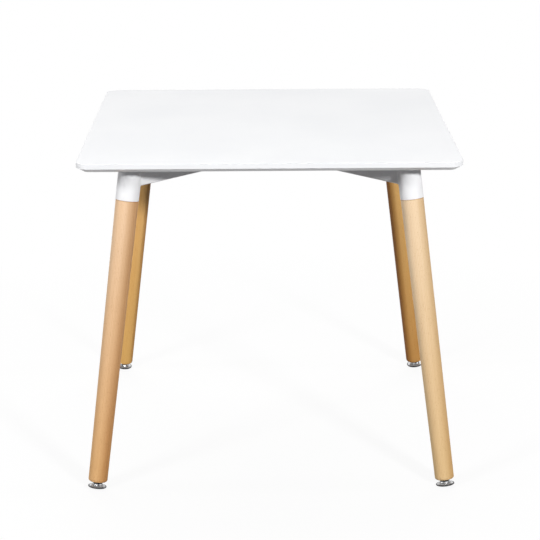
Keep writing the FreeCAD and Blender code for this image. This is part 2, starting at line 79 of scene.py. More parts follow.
Colour = tuple[float, float, float]
Scale = tuple[float, float, float]
Range = tuple[float, float]
Size = Callable[[float], float] | float
Material = bpy.types.Material
Mesh = bpy.types.Mesh
Socket = bpy.types.NodeSocket
Value = Socket | float | Sequence[float]
Key = int | str
Inputs = dict[Key, Value] | None


class Slot(Enum):
    """The names of the record's material slots."""

    FRAME = "white_frame"
    PLATING = "chrome"
    ZINC = "zinc_steel"


class Detail(Enum):
    """How many finer layers a random field has."""

    BARE = 1.0
    PLAIN = 2.0
    FINE = 3.0
    RICH = 4.0
    BUSY = 5.0


class Corner(Enum):
    """The table's corners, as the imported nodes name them."""

    BACK_RIGHT = "back_right"
    BACK_LEFT = "back_left"
    FRONT_LEFT = "front_left"
    FRONT_RIGHT = "front_right"

    def node(self, kind: str) -> str:
        """Return the name of this corner's node of a kind."""
        return f"{kind}_{self.value}"


def tint(*levels: int) -> Colour:
    """Return a linear colour from its red, green and blue as a display counts them."""
    return tuple(Color([level / DISPLAY_WHITE for level in levels]).from_srgb_to_scene_linear())


def rotation(angle: float, axis: str) -> Matrix:
    """Return a turn about an axis by an angle in degrees."""
    return Matrix.Rotation(math.radians(angle), 4, axis)


def aim(bearing: float, elevation: float) -> Matrix:
    """Return the turn of a lamp or camera that looks in and down from a bearing, in degrees."""
    return rotation(bearing, "Z") @ rotation(RIGHT_ANGLE - elevation, "X")


@dataclass(frozen=True)
class LegLine:
    """The axis of one leg, with its origin where the foot's collar meets its base."""

    corner: Corner
    origin: Vector
    up: Vector

    @classmethod
    def from_frame(cls, corner: Corner) -> "LegLine":
        """Read the axis of a corner's leg from the joint that its foot screw turns on."""
        joint = next(j for j in frame["joints"] if j["name"] == corner.node("foot_screw"))
        return cls(corner, Vector(joint["pos_m"]), -Vector(joint["axis"]).normalized())

    @property
    def outward(self) -> Vector:
        """The level direction from the middle of the table to the leg."""
        return Vector((-self.up.x, -self.up.y, 0.0)).normalized()

    @property
    def across(self) -> Vector:
        """The level direction square to the leg's rail."""
        return UP.cross(self.outward)

    def node(self, kind: str) -> str:
        """Return the name of the leg's own node of a kind."""
        return self.corner.node(kind)

    def at_height(self, height: float) -> Vector:
        """Return the point of the axis at a height above the floor."""
        return self.origin + self.up * (height - self.origin.z) / self.up.z

    def ends(self, kind: str) -> Range:
        """Return the lower and upper end of a node of the leg, up the axis from its origin."""
        start = self.origin.dot(self.up)
        return tuple(end - start for end in reach(self.node(kind), self.up))

    def place(self, spin: float = 0.0) -> Matrix:
        """Return the leg's own frame, Z up its axis and X outward, turned by some degrees."""
        axes = Matrix((self.across.cross(self.up), self.across, self.up)).transposed().to_4x4()
        return Matrix.Translation(self.origin) @ axes @ rotation(spin, "Z")


class NodeSet:
    """Short ways to add and join the nodes of one tree."""

    def __init__(self, tree: bpy.types.NodeTree) -> None:
        """Keep the tree that the nodes go into."""
        self.tree = tree

    def feed(self, socket: Socket, value: Value) -> None:
        """Join an input to an output, or set its own value.

        Args:
            socket: the input.
            value: an output socket or a plain value.
        """
        if isinstance(value, Socket):
            self.tree.links.new(value, socket)
        else:
            socket.default_value = value

    def add(self, kind: str, inputs: Inputs = None, **settings: str) -> bpy.types.Node:
        """Add a node.

        Args:
            kind: the node's type.
            inputs: values or sockets, by the input's name or number.
            settings: the node's own options.

        Returns:
            The node.
        """
        node = self.tree.nodes.new(kind)
        for option, choice in settings.items():
            setattr(node, option, choice)
        for name, value in (inputs or {}).items():
            self.feed(node.inputs[name], value)
        return node

    def out(self, kind: str, inputs: Inputs = None, socket: Key = 0, **settings: str) -> Socket:
        """Add a node and return one of its outputs, the first if none is named."""
        return self.add(kind, inputs, **settings).outputs[socket]

    def calc(self, operation: str, *values: Value) -> Socket:
        """Work out a number from one to three numbers or sockets."""
        return self.out("ShaderNodeMath", dict(enumerate(values)), operation=operation)


class FinishNodes(NodeSet):
    """The nodes of one finish, round one shader."""

    def __init__(self, name: str) -> None:
        """Start a finish with a bare shader.

        Args:
            name: the material's name.
        """
        self.material = bpy.data.materials.new(name)
        self.material.use_nodes = True
        super().__init__(self.material.node_tree)
        self.tree.nodes.clear()
        self.shader = self.add("ShaderNodeBsdfPrincipled")
        self.add("ShaderNodeOutputMaterial", {"Surface": self.shader.outputs["BSDF"]})

    def dress(self, values: dict[str, Value]) -> Material:
        """Set the shader's inputs.

        Args:
            values: plain values or sockets, by the input's name.

        Returns:
            The finished material.
        """
        for name, value in values.items():
            self.feed(self.shader.inputs[name], value)
        return self.material

    def place(self, matrix: Matrix | None = None) -> Socket:
        """Read the table's coordinates in a frame of the piece's own.

        Args:
            matrix: from that frame to the table's; none for the table's own.

        Returns:
            The coordinates.
        """
        coords = self.out("ShaderNodeTexCoord", socket="Object")
        if matrix is None:
            return coords
        inputs = {"Vector": coords, "Location": matrix.translation, "Rotation": matrix.to_euler()}
        return self.out("ShaderNodeMapping", inputs, vector_type="TEXTURE")

    def stretch(self, vector: Socket, scale: Scale) -> Socket:
        """Scale coordinates along their three axes."""
        return self.out("ShaderNodeMapping", {"Vector": vector, "Scale": scale})

    def noise(self, vector: Socket, size: float, detail: Detail, rough: float = 0.5) -> Socket:
        """Make a soft random field with spots of about a size and layers of a strength."""
        inputs = {"Vector": vector, "Scale": 1.0 / size, "Detail": detail.value, "Roughness": rough}
        return self.out("ShaderNodeTexNoise", inputs)

    def streaks(self, vector: Socket, scale: Scale, detail: Detail, rough: float = 0.5) -> Socket:
        """Make a soft random field of streaks, by how fine they are along each axis."""
        return self.noise(self.stretch(vector, scale), 1.0, detail, rough)

    def cells(self, vector: Socket, size: float) -> Socket:
        """Make a field of random cells of about a size, each of its own value."""
        inputs = {"Vector": vector, "Scale": 1.0 / size}
        return self.parts(self.out("ShaderNodeTexVoronoi", inputs, "Color"))[0]

    def span(self, value: Value, limits: Range, first: float = 0.0, last: float = 1.0) -> Socket:
        """Spread a field between two limits from first to last, and hold it there."""
        inputs = dict(enumerate((value, *limits, first, last)))
        return self.out("ShaderNodeMapRange", inputs)

    def blend(self, amount: Value, first: Value, second: Value, mode: str = "MIX") -> Socket:
        """Blend two colours.

        Args:
            amount: the second colour's share.
            first: the colour below.
            second: the colour above.
            mode: how they blend.

        Returns:
            The colour.
        """
        colours = [c if isinstance(c, Socket) else (*c, 1.0) for c in (first, second)]
        inputs = {0: amount, MIX_BELOW: colours[0], MIX_ABOVE: colours[1]}
        return self.out("ShaderNodeMix", inputs, MIX_RESULT, data_type="RGBA", blend_type=mode)

    def parts(self, vector: Socket) -> Sequence[Socket]:
        """Return the three parts of a vector."""
        return self.add("ShaderNodeSeparateXYZ", {0: vector}).outputs

    def radius(self, vector: Socket) -> Socket:
        """Return how far coordinates are from their Z axis."""
        level = self.stretch(vector, (1.0, 1.0, 0.0))
        return self.out("ShaderNodeVectorMath", {0: level}, "Value", operation="LENGTH")

    def relief(self, height: Socket, depth: float) -> Socket:
        """Turn a field into surface relief, with a depth in metres for a value of 1."""
        inputs = {"Height": height, "Distance": depth, "Strength": 1.0}
        return self.out("ShaderNodeBump", inputs)


class ShapeTree(NodeSet):
    """A geometry node tree with named sizes, run once on a seed mesh."""

    def __init__(self, name: str) -> None:
        """Start a tree that takes a mesh in and gives a mesh out.

        Args:
            name: the tree's name.
        """
        super().__init__(bpy.data.node_groups.new(name, "GeometryNodeTree"))
        self.values: dict[str, object] = {}
        for label, way in (("Mesh", "OUTPUT"), ("Seed Mesh", "INPUT")):
            self.tree.interface.new_socket(label, in_out=way, socket_type="NodeSocketGeometry")
        self.entry = self.tree.nodes.new("NodeGroupInput")
        self.exit = self.tree.nodes.new("NodeGroupOutput")

    @property
    def seed_mesh(self) -> Socket:
        """The mesh that the tree starts from."""
        return self.entry.outputs["Seed Mesh"]

    def size(self, name: str, value: object, kind: str = "Float") -> Socket:
        """Add a named input.

        Args:
            name: its name.
            value: what it is set to.
            kind: Float, Int or Material.

        Returns:
            The input, as an output of the entry node.
        """
        kind = f"NodeSocket{kind}"
        socket = self.tree.interface.new_socket(name, in_out="INPUT", socket_type=kind)
        self.values[socket.identifier] = value
        return self.entry.outputs[name]

    def sweep(self, path: Socket, sides: Value, radius: Value, scale: Value) -> Socket:
        """Sweep a ring along a path.

        Args:
            path: the curve that it follows.
            sides: the ring's sides.
            radius: the ring's radius.
            scale: the ring's size at each point of the path.

        Returns:
            A mesh with closed ends.
        """
        inputs = {"Resolution": sides, "Radius": radius}
        ring = self.out("GeometryNodeCurvePrimitiveCircle", inputs)
        inputs = {"Curve": path, "Profile Curve": ring, "Scale": scale, "Fill Caps": True}
        return self.out("GeometryNodeCurveToMesh", inputs)

    def close(self, geometry: Socket, material: Material) -> None:
        """End the tree in real meshes with a finish.

        Args:
            geometry: what the tree has made.
            material: its finish.
        """
        real = self.out("GeometryNodeRealizeInstances", {"Geometry": geometry})
        inputs = {"Geometry": real, "Material": self.size("Finish", material, "Material")}
        self.feed(self.exit.inputs["Mesh"], self.out("GeometryNodeSetMaterial", inputs))

    def grow(self, seed: Mesh, name: str) -> Mesh:
        """Run the tree.

        Args:
            seed: the mesh that it starts from.
            name: the name of the result.

        Returns:
            A plain mesh.
        """
        worker = show(name, seed)
        modifier = worker.modifiers.new(self.tree.name, "NODES")
        modifier.node_group = self.tree
        for identifier, value in self.values.items():
            modifier[identifier] = value
        graph = bpy.context.evaluated_depsgraph_get()
        mesh = bpy.data.meshes.new_from_object(worker.evaluated_get(graph))
        worker.modifiers.remove(modifier)
        bpy.data.objects.remove(worker)
        mesh.name = name
        return mesh


def show(name: str, data: bpy.types.ID) -> bpy.types.Object:
    """Put a mesh, lamp or camera into the scene.

    Args:
        name: the object's name.
        data: what it shows.

    Returns:
        The object.
    """
    thing = bpy.data.objects.new(name, data)
    bpy.context.scene.collection.objects.link(thing)
    return thing


def turn_profile(profile: Sequence[tuple[Size, Size]], angles: Sequence[float], name: str) -> Mesh:
    """Turn a profile about the Z axis into a closed mesh.

    Args:
        profile: the radius and height of each ring, one for all or worked out from the angle.
        angles: where the points of a ring stand, in radians.
        name: the mesh's name.

    Returns:
        The mesh, with its faces outwards.
    """
    points = []
    for ring in profile:
        for angle in angles:
            radius, height = (size(angle) if callable(size) else size for size in ring)
            points.append((radius * math.cos(angle), radius * math.sin(angle), height))
    count = len(angles)
    faces = []
    for start in range(0, len(points) - count, count):
        for step in range(count):
            low, after = start + step, start + (step + 1) % count
            faces.append((low, after, after + count, low + count))
    faces += [range(count), range(len(points) - count, len(points))]
    mesh = bpy.data.meshes.new(name)
    mesh.from_pydata(points, [], faces)
    close_up(mesh)
    return mesh


def close_up(mesh: Mesh) -> None:
    """Merge a mesh's doubled points and turn its faces outwards.

    Args:
        mesh: the mesh, which is changed.
    """
    form = bmesh.new()
    form.from_mesh(mesh)
    bmesh.ops.remove_doubles(form, verts=form.verts, dist=MERGE_DISTANCE)
    bmesh.ops.recalc_face_normals(form, faces=form.faces)
    form.to_mesh(mesh)
    form.free()


def soften(mesh: Mesh, angle: float = SHARP_ANGLE) -> None:
    """Shade a mesh smooth, apart from edges sharper than an angle in degrees."""
    mesh.polygons.foreach_set("use_smooth", [True] * len(mesh.polygons))
    mesh.set_sharp_from_angle(angle=math.radians(angle))


def settle(mesh: Mesh, body: str, slot: Slot, nodes: Sequence[str] = ()) -> bpy.types.Object:
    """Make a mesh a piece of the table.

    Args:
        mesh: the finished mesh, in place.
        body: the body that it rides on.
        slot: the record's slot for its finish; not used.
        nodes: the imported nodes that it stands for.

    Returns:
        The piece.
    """
    piece = show(mesh.name, mesh)
    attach(piece, body)
    if nodes:
        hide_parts(*nodes)
    LOG.info("%s: %d faces on %s", piece.name, len(mesh.polygons), body)
    return piece


def paint(node: str, material: Material) -> None:
    """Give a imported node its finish.

    Args:
        node: the node's name.
        material: the finish.
    """
    for holder in frame["nodes"][node].material_slots:
        holder.material = material
    LOG.info("%s: %s", node, material.name)


def reach(node: str, direction: Vector) -> Range:
    """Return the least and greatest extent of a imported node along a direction."""
    along = [vertex.co.dot(direction) for vertex in frame["nodes"][node].data.vertices]
    return min(along), max(along)


@dataclass(frozen=True)
class SprayedWhite:
    """A sprayed white coat: tones, gloss, and the sizes of its peel and grain in metres."""

    name: str
    tone: Colour
    shade: Colour
    gloss: Range
    peel_size: float
    peel_depth: float
    grain_size: float
    grain_share: float
    drift_size: float = 0.16
    drift_range: Range = (0.35, 0.62)
    nib_size: float = 0.012
    nib_share: float = 0.985
    nib_tone: Colour = (0.93, 0.93, 0.93)
    speck_grains: float = 2.0
    speck_range: Range = (0.62, 0.7)
    gloss_share: float = 0.5
    gloss_range: Range = (0.35, 0.65)

    def material(self) -> Material:
        """Build the coat.

        Returns:
            The material: a faint drift of tone, dust nibs, orange peel and uneven gloss.
        """
        nodes = FinishNodes(self.name)
        place = nodes.place()
        peel = nodes.noise(place, self.peel_size, Detail.FINE)
        grain = nodes.noise(place, self.grain_size, Detail.PLAIN)
        drift = nodes.noise(place, self.drift_size, Detail.RICH)
        colour = nodes.blend(nodes.span(drift, self.drift_range), self.shade, self.tone)
        pick = nodes.calc("GREATER_THAN", nodes.cells(place, self.nib_size), self.nib_share)
        speck = nodes.noise(place, self.grain_size * self.speck_grains, Detail.BARE)
        nib = nodes.calc("MULTIPLY", pick, nodes.span(speck, self.speck_range))
        rest = nodes.calc("MULTIPLY", drift, 1.0 - self.gloss_share)
        gloss = nodes.calc("MULTIPLY_ADD", grain, self.gloss_share, rest)
        height = nodes.calc("MULTIPLY_ADD", grain, self.grain_share, peel)
        return nodes.dress({
            "Base Color": nodes.blend(nib, colour, self.nib_tone, "MULTIPLY"),
            "Roughness": nodes.span(gloss, self.gloss_range, *self.gloss),
            "Normal": nodes.relief(height, self.peel_depth),
        })


@dataclass(frozen=True)
class Beech:
    """Turned beech under clear lacquer: tints, and the sizes of its grain in metres."""

    head: Colour
    toe: Colour
    late: Colour
    # The heart colour darkens one side of the leg: partly heartwood, partly painted shade on the
    # side turned from the lamps.
    heart_and_shade: Colour
    heart_and_shade_bearing: float
    heart_and_shade_start: float
    heart_and_shade_end: float = 0.023
    pith: float = 0.055
    ring: float = 0.0031
    ring_rise: Range = (0.15, 0.86)
    ring_fall: Range = (0.9, 1.0)
    ring_share: float = 0.22
    bend: Scale = (9.0, 9.0, 2.2)
    wander: float = 0.016
    fibre: Scale = (900.0, 900.0, 11.0)
    fibre_rough: float = 0.6
    fibre_range: Range = (0.3, 0.75)
    fibre_share: float = 0.32
    band: Scale = (46.0, 46.0, 1.6)
    band_range: Range = (0.38, 0.66)
    band_share: float = 0.24
    band_lift: float = 0.25
    fade: Range = (0.05, 0.60)
    fade_range: Range = (0.1, 1.05)
    fleck: Scale = (1500.0, 1500.0, 190.0)
    fleck_range: Range = (0.66, 0.72)
    fleck_tone: Colour = (0.62, 0.44, 0.31)
    fleck_share: float = 0.55
    fleck_dent: float = 0.6
    toe_line: float = 0.0042
    line_width: float = 0.0008
    line_share: float = 0.35
    # Painted shade: the wood is darkened in a band just below the sleeve's lower edge, where the
    # sleeve shades it.
    seam_shade_width: float = 0.0022
    seam_shade_share: float = 0.8
    seam_shade_tone: Colour = (0.50, 0.36, 0.26)
    grain_depth: float = 0.00005
    gloss: Range = (0.46, 0.60)
    gloss_range: Range = (0.3, 0.7)
    specular: float = 0.10

    def spin(self, leg: LegLine) -> float:
        """Return the turn about a leg, in degrees, that faces its darker side, partly heartwood and
        partly painted shade, to its bearing.
        """
        side = rotation(self.heart_and_shade_bearing, "Z") @ Vector((0.0, 1.0, 0.0))
        return math.degrees(math.atan2(side.dot(leg.across), side.dot(leg.outward)))

    def material(self, leg: LegLine) -> Material:
        """Build the wood of one leg.

        Args:
            leg: the leg, whose axis the grain follows.

        Returns:
            The material: growth rings, streaks, fibres and rays under lacquer, with a darker side
                that is partly heartwood and partly painted shade, and painted shade just below the
                sleeve.
        """
        foot, _ = leg.ends("leg")
        seam, _ = leg.ends("leg_sleeve")
        nodes = FinishNodes(leg.node("beech"))
        place = nodes.place(leg.place(self.spin(leg)))
        along, _, height = nodes.parts(place)
        bend = nodes.streaks(place, self.bend, Detail.PLAIN)
        log = nodes.out("ShaderNodeMapping", {"Vector": place, "Location": (self.pith, 0.0, 0.0)})
        growth = nodes.calc("MULTIPLY_ADD", bend, self.wander, nodes.radius(log))
        year = nodes.calc("FRACT", nodes.calc("DIVIDE", growth, self.ring))
        fall = nodes.span(year, self.ring_fall, 1.0, 0.0)
        ring = nodes.calc("MULTIPLY", nodes.span(year, self.ring_rise), fall)
        fibre = nodes.streaks(place, self.fibre, Detail.FINE, self.fibre_rough)
        band = nodes.streaks(place, self.band, Detail.FINE)
        tone = nodes.calc("MULTIPLY", ring, self.ring_share)
        for streak, limits, share in (
            (fibre, self.fibre_range, self.fibre_share),
            (band, self.band_range, self.band_share),
        ):
            tone = nodes.calc("MULTIPLY_ADD", nodes.span(streak, limits), share, tone)
        # Paler at the head, darker towards the toe.
        fade = nodes.calc("MULTIPLY_ADD", band, self.band_lift, nodes.span(height, self.fade))
        pale = nodes.blend(nodes.span(fade, self.fade_range), self.toe, self.head)
        dark = nodes.blend(1.0, pale, self.late, "MULTIPLY")
        colour = nodes.blend(tone, pale, dark)
        # Darker towards one side: partly heartwood, partly painted shade.
        heart_and_shade = nodes.span(along, (-self.heart_and_shade_end, -self.heart_and_shade_start), 1.0, 0.0)
        rays = nodes.streaks(place, self.fleck, Detail.BARE)
        fleck = nodes.span(rays, self.fleck_range, 0.0, self.fleck_share)
        # A thin darker line at the toe, and painted shade just below the sleeve.
        off_line = nodes.calc("ABSOLUTE", nodes.calc("SUBTRACT", height, foot + self.toe_line))
        line = nodes.span(off_line, (0.0, self.line_width), self.line_share, 0.0)
        joint = nodes.span(height, (seam - self.seam_shade_width, seam), 0.0, self.seam_shade_share)
        toe_line_and_seam_shade = nodes.calc("MAXIMUM", line, joint)
        for share, dark_tone in (
            (heart_and_shade, self.heart_and_shade), (fleck, self.fleck_tone), (toe_line_and_seam_shade, self.seam_shade_tone),
        ):
            colour = nodes.blend(share, colour, dark_tone, "MULTIPLY")
        dent = nodes.calc("MULTIPLY", fleck, self.fleck_dent)
        return nodes.dress({
            "Base Color": colour,
            "Roughness": nodes.span(fibre, self.gloss_range, *self.gloss),
            "Normal": nodes.relief(nodes.calc("SUBTRACT", fibre, dent), self.grain_depth),
            "Specular IOR Level": self.specular,
        })


@dataclass(frozen=True)
class BrightPlating:
    """Plated steel, bright on the collar and satin on the disc, with painted shade at the rim, the
    crease, the thread's root and under the leg, and real smudges, in metres.
    """

    collar_tone: Colour = (0.86, 0.865, 0.875)
    disc_tone: Colour = (0.56, 0.565, 0.575)
    # Painted shade: the dark tone for the rim, crease ring, thread root and the collar's part under
    # the leg, also used for smudges.
    shade_and_smudge_tone: Colour = (0.045, 0.045, 0.048)
    rim_shade: Range = (0.0166, 0.0186)
    crease: Range = (0.0104, 0.0122)
    crease_shade_width: float = 0.0006
    thread_root_shade: Range = (0.0036, 0.0039)
    thread_root_shade_share: float = 0.8
    under_leg_shade_rise: Range = (0.0020, 0.0034)
    under_leg_shade_ebb: Range = (0.0078, 0.0090)
    disc_metal: float = 0.70
    smudge: float = 0.009
    smudge_range: Range = (0.5, 0.75)
    smudge_share: float = 0.16
    scratch: Scale = (700.0, 2600.0, 700.0)
    scratch_depth: float = 0.000004
    collar_gloss: float = 0.14
    disc_gloss: float = 0.40
    gloss_drift: float = 0.10
    drift_range: Range = (0.3, 0.7)

    def material(self, leg: LegLine) -> Material:
        """Build the plating of one foot.

        Args:
            leg: the leg that the foot stands under.

        Returns:
            The material.
        """
        nodes = FinishNodes(leg.node("bright_plating"))
        place = nodes.place(leg.place())
        radius = nodes.radius(place)
        height = nodes.parts(place)[2]
        smudge = nodes.noise(place, self.smudge, Detail.RICH)
        scratch = nodes.streaks(place, self.scratch, Detail.PLAIN)
        on_disc = nodes.span(radius, self.crease)
        edge = self.crease[0]
        crease_shade_rise = nodes.span(radius, (edge - self.crease_shade_width, edge))
        # Painted shade and dark reflection: darkened at the disc's rim, in a ring at the crease
        # round the collar, at the thread's root and on the collar's upper part under the leg;
        # smudges are real dull marks.
        under_leg_shade_fade = nodes.span(height, self.under_leg_shade_ebb, 1.0, 0.0)
        shade_and_smudge = nodes.span(radius, self.rim_shade)
        for dark_mark in (
            nodes.span(radius, self.thread_root_shade, self.thread_root_shade_share, 0.0),
            nodes.calc("MULTIPLY", nodes.span(radius, self.crease, 1.0, 0.0), crease_shade_rise),
            nodes.calc("MULTIPLY", nodes.span(height, self.under_leg_shade_rise), under_leg_shade_fade),
            nodes.span(smudge, self.smudge_range, 0.0, self.smudge_share),
        ):
            shade_and_smudge = nodes.calc("MAXIMUM", shade_and_smudge, dark_mark)
        tone = nodes.blend(on_disc, self.collar_tone, self.disc_tone)
        satin = nodes.span(on_disc, UNIT, self.collar_gloss, self.disc_gloss)
        drift = nodes.span(smudge, self.drift_range, 0.0, self.gloss_drift)
        return nodes.dress({
            "Base Color": nodes.blend(shade_and_smudge, tone, self.shade_and_smudge_tone),
            "Metallic": nodes.span(on_disc, UNIT, 1.0, self.disc_metal),
            "Roughness": nodes.calc("ADD", satin, drift),
            "Normal": nodes.relief(scratch, self.scratch_depth),
        })


@dataclass(frozen=True)
class ZincPlating:
    """Zinc plated steel: spangle and dull patches, in metres."""

    name: str = "zinc_plating"
    tone: Colour = (0.60, 0.61, 0.63)
    shade: Colour = (0.43, 0.44, 0.47)
    tone_range: Range = (0.25, 0.75)
    spangle: float = 0.0022
    spangle_share: float = 0.4
    patch: float = 0.006
    depth: float = 0.00001
    gloss: Range = (0.46, 0.26)
    gloss_range: Range = (0.3, 0.7)

    def material(self) -> Material:
        """Build the plating.

        Returns:
            The material.
        """
        nodes = FinishNodes(self.name)
        place = nodes.place()
        crystal = nodes.cells(place, self.spangle)
        patch = nodes.noise(place, self.patch, Detail.RICH)
        rest = nodes.calc("MULTIPLY", patch, 1.0 - self.spangle_share)
        mixed = nodes.calc("MULTIPLY_ADD", crystal, self.spangle_share, rest)
        return nodes.dress({
            "Base Color": nodes.blend(nodes.span(mixed, self.tone_range), self.shade, self.tone),
            "Metallic": 1.0,
            "Roughness": nodes.span(mixed, self.gloss_range, *self.gloss),
            "Normal": nodes.relief(patch, self.depth),
        })


@dataclass(frozen=True)
class MouldedPlastic:
    """Dark moulded plastic with a fine spark-eroded grain, in metres."""

    name: str = "pad_moulding"
    tone: Colour = (0.030, 0.030, 0.032)
    scuff: Colour = (0.085, 0.083, 0.080)
    scuff_size: float = 0.007
    scuff_rough: float = 0.65
    scuff_range: Range = (0.5, 0.8)
    grain: float = 0.0005
    depth: float = 0.00003
    gloss: Range = (0.42, 0.62)
    gloss_range: Range = (0.3, 0.7)

    def material(self) -> Material:
        """Build the moulding.

        Returns:
            The material.
        """
        nodes = FinishNodes(self.name)
        place = nodes.place()
        grain = nodes.noise(place, self.grain, Detail.PLAIN)
        scuff = nodes.noise(place, self.scuff_size, Detail.BUSY, self.scuff_rough)
        return nodes.dress({
            "Base Color": nodes.blend(nodes.span(scuff, self.scuff_range), self.tone, self.scuff),
            "Roughness": nodes.span(scuff, self.gloss_range, *self.gloss),
            "Normal": nodes.relief(grain, self.depth),
        })


LACQUER = SprayedWhite(
    name="satin_lacquer", tone=(0.80, 0.806, 0.818), shade=(0.78, 0.788, 0.804),
    gloss=(0.30, 0.38), peel_size=0.0042, peel_depth=0.000010,
    grain_size=0.0007, grain_share=0.12,
)
POWDER_COAT = SprayedWhite(
    name="powder_coat", tone=(0.80, 0.80, 0.81), shade=(0.775, 0.777, 0.79),
    gloss=(0.54, 0.66), peel_size=0.0021, peel_depth=0.000030,
    grain_size=0.0005, grain_share=0.35,
)
# Painted shade: the foot inserts are plated near black to stand for the shade under each leg.
SHADE_DARK_ZINC = ZincPlating(
    name="shade_dark_zinc_plating", tone=(0.10, 0.10, 0.105), shade=(0.055, 0.055, 0.06),
    gloss=(0.58, 0.40),
)
# Each leg's heart colour and bearing give it a darker side: partly heartwood, partly painted shade
# where the leg turns from the lamps.
LEG_WOOD = {
    Corner.FRONT_LEFT: Beech(
        head=tint(236, 206, 173), toe=tint(223, 180, 127), late=(0.78, 0.62, 0.46),
        heart_and_shade=(0.74, 0.60, 0.45), heart_and_shade_bearing=70.0, heart_and_shade_start=0.005,
    ),
    Corner.FRONT_RIGHT: Beech(
        head=tint(240, 217, 186), toe=tint(227, 196, 148), late=(0.80, 0.67, 0.50),
        heart_and_shade=(0.78, 0.70, 0.57), heart_and_shade_bearing=80.0, heart_and_shade_start=0.003,
    ),
    Corner.BACK_LEFT: Beech(
        head=tint(232, 187, 124), toe=tint(230, 184, 112), late=(0.78, 0.64, 0.46),
        heart_and_shade=(0.60, 0.48, 0.34), heart_and_shade_bearing=86.0, heart_and_shade_start=0.015,
    ),
    Corner.BACK_RIGHT: Beech(
        head=tint(234, 190, 122), toe=tint(202, 152, 88), late=(0.78, 0.64, 0.46),
        heart_and_shade=(0.48, 0.34, 0.24), heart_and_shade_bearing=-76.0, heart_and_shade_start=0.010,
    ),
}


@dataclass
class TableTop:
    """The square board."""

    node: str = "table_top"
    coat: SprayedWhite = LACQUER

    def dress(self) -> None:
        """Lacquer the board."""
        paint(self.node, self.coat.material())


